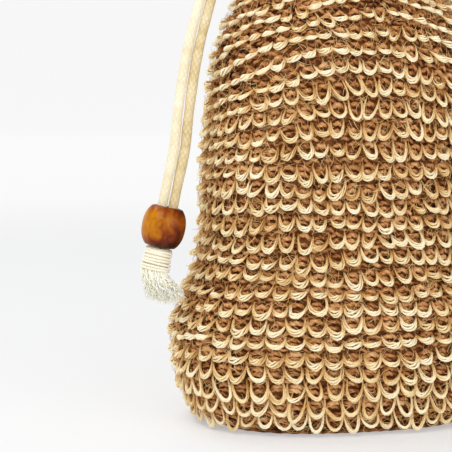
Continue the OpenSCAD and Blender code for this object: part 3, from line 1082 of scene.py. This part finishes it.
# The core is painted darker, as shade in the gaps between the turns.
core = np.array([whipping_top + down * d for d in np.linspace(0.1 * MM, WHIPPING_HEIGHT, 6)])
binding.append((core, WHIPPING_R - 0.1 * MM, 0.25))
whipping = spin_yarn("thread_whipping", waxed_thread, binding, sides=12)

tassel_start = whipping_top + down * (WHIPPING_HEIGHT - 0.8 * MM)
TASSEL_TURN = math.radians(29)
tassel_down = np.array([math.sin(TASSEL_TURN), 0, -math.cos(TASSEL_TURN)])
tassel_across = np.array([math.cos(TASSEL_TURN), 0, math.sin(TASSEL_TURN)])


def tassel_strands(count, thick, curl, spread_out, length):
    made = []
    t = np.linspace(0, 1, 11)
    for _ in range(count):
        a, q = rng.uniform(0, 2 * math.pi), math.sqrt(rng.uniform(0, 1))
        top = 3.5 * MM * q
        foot = 4.6 * MM * q * spread_out * rng.uniform(0.8, 1.15)
        reach = length * rng.uniform(0.72, 1.06) * (1 - 0.12 * q)
        first = tassel_start + (across * math.cos(a) + toward * math.sin(a)) * top
        flow = (down[None, :] * (1 - t[:, None]) ** 6
                + tassel_down[None, :] * (1 - (1 - t[:, None]) ** 6))
        run = np.concatenate([[np.zeros(3)], np.cumsum(unit(flow)[:-1], axis=0)])
        run = run * reach / (len(t) - 1)
        drift_out = (tassel_across * math.cos(a) + toward * math.sin(a)) * (foot - top)
        path = first + run + drift_out * (t ** 1.3)[:, None]
        p1, p2, f1, f2 = rng.uniform(0, 2 * math.pi, 4)
        swing = curl * t ** 0.7
        f1, f2 = 1.2 + f1 * 0.45, 1.2 + f2 * 0.45
        path = path + tassel_across * (swing * np.sin(f1 * 2 * math.pi * t + p1))[:, None]
        path = path + toward * (swing * np.sin(f2 * 2 * math.pi * t + p2))[:, None]
        # Painted light and shade: strands further out in the tuft and nearer their tips are
        # lighter, and those deep inside are darker.
        shade = rng.normal(0.55, 0.2) + 0.2 * q + 0.15 * t
        made.append((path, thick * (1 - 0.45 * t ** 2), shade))
    return made


tassel = spin_yarn(
    "frayed_tassel", frayed_cotton,
    tassel_strands(230, 0.24 * MM, 0.55 * MM, 1.0, 9.6 * MM)
    + tassel_strands(620, 0.09 * MM, 1.1 * MM, 1.1, 10.4 * MM),
    sides=4,
)
print("tassel:", len(tassel.data.polygons), "faces")

# %% [markdown]
# ## Handing the pieces to the frame
# Each piece hides the CAD solids that it stands for. Most pieces ride on the body of those solids;
# the pieces of the lips, the mouth ropes, the runs of the cord and the neck stitches stay where
# they were made and ride on no body. The lips bend, so their pieces blend
# from the body at the sides, where the halves are joined, to the lip towards the middle.


def on(piece, body, slot, *nodes):
    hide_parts(*nodes)
    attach(piece, body)


def bending(piece, side, slot, *nodes):
    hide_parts(*nodes)
    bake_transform(piece)


for side, word in BODY.items():
    on(knit[word, "loops_left"], "pouch", "loop_yarn", f"{word}_loop_pile")
    on(knit[word, "loops_right"], "pouch", "loop_yarn", f"{word}_loop_pile")
    on(knit[word, "rows"], "pouch", "ground_yarn", f"{word}_panel")
    on(knit[word, "fabric"], "pouch", "ground_yarn", f"{word}_panel")
    on(knit[word, "fibres"], "pouch", "loop_yarn", f"{word}_loop_pile")
    bending(knit[word, "lip_loops"], side, "loop_yarn", f"{word}_gather_loops")
    bending(knit[word, "lip_rows"], side, "ground_yarn", f"{word}_gather")
    bending(knit[word, "lip_fabric"], side, "ground_yarn", f"{word}_gather")
    bending(knit[word, "lip_fibres"], side, "loop_yarn", f"{word}_gather_loops")
    bending(mouth_ropes[word], side, "loop_yarn", f"{word}_mouth_edging")
    bending(runs[word], side, "cotton_cord", f"{word}_drawstring_run")
    on(legs[word][0], "tail", "cotton_cord", f"drawstring_leg_{word}")
for word in ("left", "right"):
    on(seams[word], "pouch", "ground_yarn", f"{word}_side_seam")
    bending(seams[word, "lip"], -1, "ground_yarn", "front_gather")
on(base_yarn, "pouch", "ground_yarn", "base_seam")
on(bead, "bead", "lacquered_wood", "bead")
on(whipping, "tail", "binding_thread", "whipping")
on(tassel, "tail", "frayed_cotton", "tassel")

# %% [markdown]
# ## The free ends
# The two free ends are limp cords of known length. The loop below only reads back the piece and
# the path of each end.

# %% Free ends
for side, word in BODY.items():
    piece, path = legs[word]

# %% [markdown]
# ## Studio
# A round bowl of white acrylic, a smooth floor that curves up into a low wall, stands round the
# pouch, so that it has a pale ground from every side. Its profile is spun once round. The acrylic
# is faintly lit from behind, more so further out, where the lamps do not reach. One large soft box
# stands at the upper left and in front, a second one in front, and a third one behind and above.

# %% Studio
floor_r, curve_r, wall_top = 2.2, 0.35, 0.95
bowl_points = [(r, 0.0) for r in (0.001, 0.3, 0.8, 1.5, floor_r)]
bowl_points += [
    (floor_r + curve_r * math.sin(a), curve_r - curve_r * math.cos(a))
    for a in np.linspace(0, math.pi / 2, 13)[1:]
]
bowl_points.append((floor_r + curve_r, wall_top))
work = bmesh.new()
profile = [work.verts.new((r, 0, z)) for r, z in bowl_points]
edges = [work.edges.new((profile[i], profile[i + 1])) for i in range(len(profile) - 1)]
bmesh.ops.spin(work, geom=profile + edges, cent=(0, 0, 0), axis=(0, 0, 1), angle=2 * math.pi,
               steps=96, use_merge=True)
bmesh.ops.recalc_face_normals(work, faces=work.faces)
for face in work.faces:
    face.smooth = True
sweep_mesh = bpy.data.meshes.new("sweep")
work.to_mesh(sweep_mesh)
work.free()
bowl, bowl_shader = new_material("white_acrylic_sweep", Roughness=0.9)
bowl_shader.inputs["Specular IOR Level"].default_value = 0.1
bowl_place = add(bowl, "ShaderNodeTexCoord")
bowl_tooth = add(bowl, "ShaderNodeTexNoise", {
    "Vector": bowl_place.outputs["Object"], "Scale": 1 / (1.5 * MM), "Detail": 2.0,
})
bowl_reach = add(
    bowl, "ShaderNodeVectorMath", {0: bowl_place.outputs["Object"]}, operation="LENGTH")
bowl_far = add(bowl, "ShaderNodeMapRange", {
    "Value": bowl_reach.outputs["Value"], "From Min": 0.25, "From Max": 0.85,
    "To Min": 0.0, "To Max": 1.0,
}, interpolation_type="SMOOTHSTEP")
bowl_mix = add(bowl, "ShaderNodeMath", {
    0: bowl_tooth.outputs["Fac"], 1: 0.03, 2: bowl_far.outputs["Result"],
}, operation="MULTIPLY_ADD")
bowl_colour = ramp(bowl, bowl_mix.outputs[0], [(0.0, "#C4C5C7"), (1.0, "#000000")])
bowl.node_tree.links.new(bowl_colour, bowl_shader.inputs["Base Color"])
bowl_glow = add(bowl, "ShaderNodeMapRange", {
    "Value": bowl_far.outputs["Result"], "From Min": 0.0, "From Max": 1.0,
    "To Min": 0.38, "To Max": 0.93,
})
bowl.node_tree.links.new(bowl_glow.outputs["Result"], bowl_shader.inputs["Emission Strength"])
sweep_mesh.materials.append(bowl)
sweep = bpy.data.objects.new("sweep", sweep_mesh)
bpy.context.collection.objects.link(sweep)


def softbox(name, location, target, size, power, colour):
    data = bpy.data.lights.new(name, "AREA")
    data.shape = "SQUARE"
    data.size = size
    data.energy = power
    data.color = linear(colour)[:3]
    light = bpy.data.objects.new(name, data)
    light.location = location
    light.rotation_euler = (Vector(target) - Vector(location)).to_track_quat("-Z", "Y").to_euler()
    bpy.context.collection.objects.link(light)
    return light


aim = (-0.02, 0, 0.07)
key_light = softbox("key_softbox", (-0.5, -0.55, 0.7), aim, 0.6, 4.2, "#FFFCF7")
fill_light = softbox("fill_softbox", (0.35, -0.9, 0.35), aim, 0.8, 3.0, "#FFFFFF")
back_light = softbox("back_softbox", (-0.3, 0.3, 0.9), (0, 0.2, 0.2), 0.6, 3.0, "#FFFFFF")

world = bpy.data.worlds.new("white_room")
world.use_nodes = True
background = world.node_tree.nodes["Background"]
background.inputs["Color"].default_value = (1, 1, 1, 1)
background.inputs["Strength"].default_value = 0.4
bpy.context.scene.world = world
bpy.context.scene.view_settings.view_transform = "Standard"
